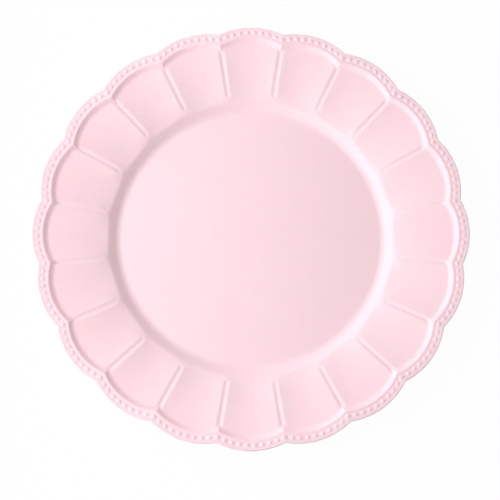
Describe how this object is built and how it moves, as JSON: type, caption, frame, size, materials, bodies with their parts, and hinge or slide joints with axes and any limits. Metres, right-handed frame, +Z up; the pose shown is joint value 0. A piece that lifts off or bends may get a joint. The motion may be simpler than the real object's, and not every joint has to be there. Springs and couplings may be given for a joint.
{
  "type": "charger plate",
  "caption": "Round charger plate with a flat well, scooped petal rim, raised lip and beaded scalloped edge, on a foot ring with soft pads; a dinner plate stands in its well.",
  "frame": {"origin": "centre of the table plane that the pads stand on, under the middle of the well", "axes": "+Z up out of the well, +X and +Y each through the tip of a lobe"},
  "size_m": [0.33, 0.33, 0.0212],
  "materials": {
    "plate_plastic": "satin, pale pink, moulded in one colour",
    "pad_rubber": "matt, pale grey, translucent"
  },
  "bodies": {
    "root": {"plate": "plate_plastic", "nonslip_pad_1": "pad_rubber", "nonslip_pad_2": "pad_rubber", "nonslip_pad_3": "pad_rubber", "nonslip_pad_4": "pad_rubber", "nonslip_pad_5": "pad_rubber", "nonslip_pad_6": "pad_rubber"}
  },
  "joints": []
}
